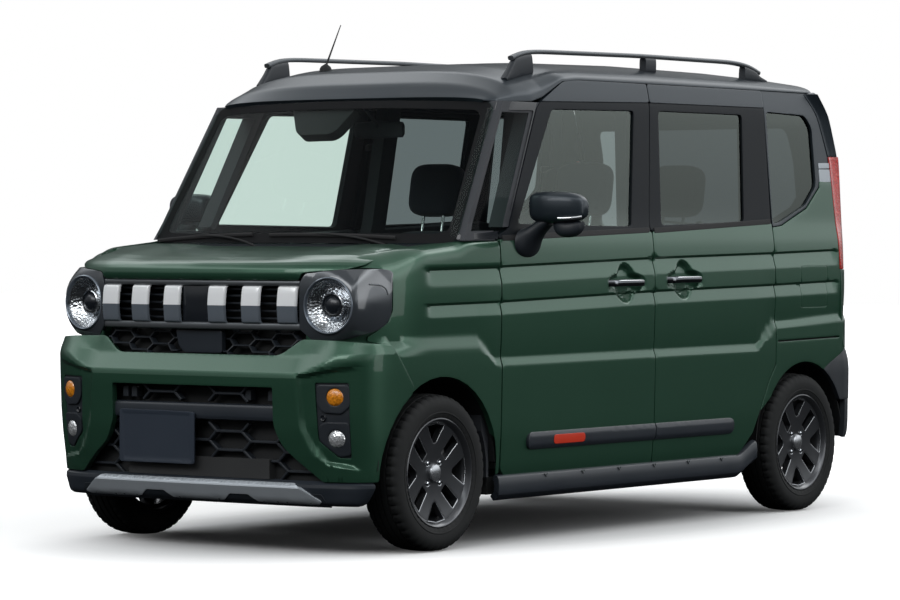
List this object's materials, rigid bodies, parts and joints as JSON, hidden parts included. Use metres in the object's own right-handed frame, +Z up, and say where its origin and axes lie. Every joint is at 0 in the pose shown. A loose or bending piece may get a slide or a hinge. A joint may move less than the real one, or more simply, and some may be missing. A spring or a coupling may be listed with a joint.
{
  "type": "kei car, tall boxy wagon with sliding rear doors",
  "caption": "Tall, short, boxy kei wagon with upright grille, round lamps, hinged front doors, sliding rear doors, lifting bonnet and tailgate, steered front wheels.",
  "frame": {"origin": "on the ground under the middle of the car's box", "axes": "+X to the car's left, +Y to its rear, +Z up"},
  "size_m": [1.925, 3.395, 1.9004],
  "materials": {
    "body_paint": "gloss forest green",
    "roof_paint": "gloss dark grey",
    "black_plastic": "matt black",
    "black_gloss": "gloss black",
    "grey_plastic": "satin dark grey",
    "silver_plastic": "satin silver",
    "chrome": "bright",
    "clear_glass": "pale green tint",
    "dark_glass": "privacy tint",
    "lamp": "clear lens over dark pod",
    "red_lamp": "red lens",
    "plate": "blank dark plate",
    "underbody": "black coated steel",
    "seat_fabric": "dark navy grey",
    "engine": "plain block",
    "exhaust_steel": "dull",
    "wheel_leather": "black",
    "alloy": "dark gunmetal",
    "tyre": "black rubber"
  },
  "bodies": {
    "body": {"floor_pan": "underbody", "cowl": "black_plastic", "a_pillars": "black_gloss", "b_pillars": "black_gloss", "roof": "roof_paint", "windscreen": "clear_glass", "side_windows": "dark_glass", "front_fenders": "body_paint", "quarter_panels": "body_paint", "rear_doors": "body_paint", "sill_cladding": "grey_plastic", "front_bumper": "body_paint", "front_lip": "grey_plastic", "skid_plate": "silver_plastic", "grille_frame": "black_gloss", "grille_blocks": "chrome", "lower_grille": "black_plastic", "headlamps": "lamp", "lamp_pods": "black_gloss", "front_plate": "plate", "rear_bumper": "body_paint", "tail_lamps": "red_lamp", "roof_rails": "silver_plastic", "antenna": "black_plastic", "dashboard": "black_plastic", "front_seats": "seat_fabric", "rear_bench": "seat_fabric", "engine": "engine", "front_subframe": "underbody", "rear_axle": "underbody", "fuel_tank": "black_plastic", "exhaust": "exhaust_steel"},
    "bonnet": {"bonnet": "body_paint"},
    "front_door_left": {"front_door_left": "body_paint", "door_window_left": "clear_glass", "mirror_left": "roof_paint"},
    "front_door_right": {"front_door_right": "body_paint", "door_window_right": "clear_glass", "mirror_right": "roof_paint"},
    "tailgate": {"tailgate": "body_paint", "tailgate_window": "dark_glass"},
    "steering_wheel": {"steering_wheel": "wheel_leather"},
    "knuckle_left": {"knuckle_left": "underbody"},
    "knuckle_right": {"knuckle_right": "underbody"},
    "wheel_front_left": {"rim_front_left": "alloy", "tyre_front_left": "tyre"},
    "wheel_front_right": {"rim_front_right": "alloy", "tyre_front_right": "tyre"},
    "wheel_rear_left": {"rim_rear_left": "alloy", "tyre_rear_left": "tyre"},
    "wheel_rear_right": {"rim_rear_right": "alloy", "tyre_rear_right": "tyre"}
  },
  "joints": [
    {"name": "bonnet_lift", "type": "hinge", "parent": "body", "child": "bonnet", "pos_m": [0, -1.1915, 1.022], "axis": [-1, 0, 0], "range_deg": [0, 50]},
    {"name": "front_door_left_swing", "type": "hinge", "parent": "body", "child": "front_door_left", "pos_m": [0.6955, -0.8165, 0.7], "axis": [0, 0, -1], "range_deg": [0, 65]},
    {"name": "front_door_right_swing", "type": "hinge", "parent": "body", "child": "front_door_right", "pos_m": [-0.6955, -0.8165, 0.7], "axis": [0, 0, 1], "range_deg": [0, 65]},
    {"name": "tailgate_lift", "type": "hinge", "parent": "body", "child": "tailgate", "pos_m": [0, 1.4395, 1.727], "axis": [1, 0, 0], "range_deg": [0, 85]},
    {"name": "steer_left", "type": "hinge", "parent": "body", "child": "knuckle_left", "pos_m": [0.5925, -1.1975, 0.276], "axis": [0, 0, 1], "range_deg": [-35, 35]},
    {"name": "steer_right", "type": "hinge", "parent": "body", "child": "knuckle_right", "pos_m": [-0.5925, -1.1975, 0.276], "axis": [0, 0, 1], "range_deg": [-35, 35]},
    {"name": "steering_wheel_turn", "type": "hinge", "parent": "body", "child": "steering_wheel", "pos_m": [-0.35, -0.5125, 0.935], "axis": [0, 0.8829, 0.4695], "range_deg": [-560, 560]},
    {"name": "wheel_front_left_spin", "type": "hinge", "parent": "knuckle_left", "child": "wheel_front_left", "pos_m": [0.6475, -1.1975, 0.276], "axis": [1, 0, 0], "continuous": true},
    {"name": "wheel_front_right_spin", "type": "hinge", "parent": "knuckle_right", "child": "wheel_front_right", "pos_m": [-0.6475, -1.1975, 0.276], "axis": [1, 0, 0], "continuous": true},
    {"name": "wheel_rear_left_spin", "type": "hinge", "parent": "body", "child": "wheel_rear_left", "pos_m": [0.6475, 1.2625, 0.276], "axis": [1, 0, 0], "continuous": true},
    {"name": "wheel_rear_right_spin", "type": "hinge", "parent": "body", "child": "wheel_rear_right", "pos_m": [-0.6475, 1.2625, 0.276], "axis": [1, 0, 0], "continuous": true}
  ],
  "couplings": [
    {"joint": "steer_right", "follows": "steer_left", "ratio": 1},
    {"joint": "steering_wheel_turn", "follows": "steer_left", "ratio": 16}
  ]
}
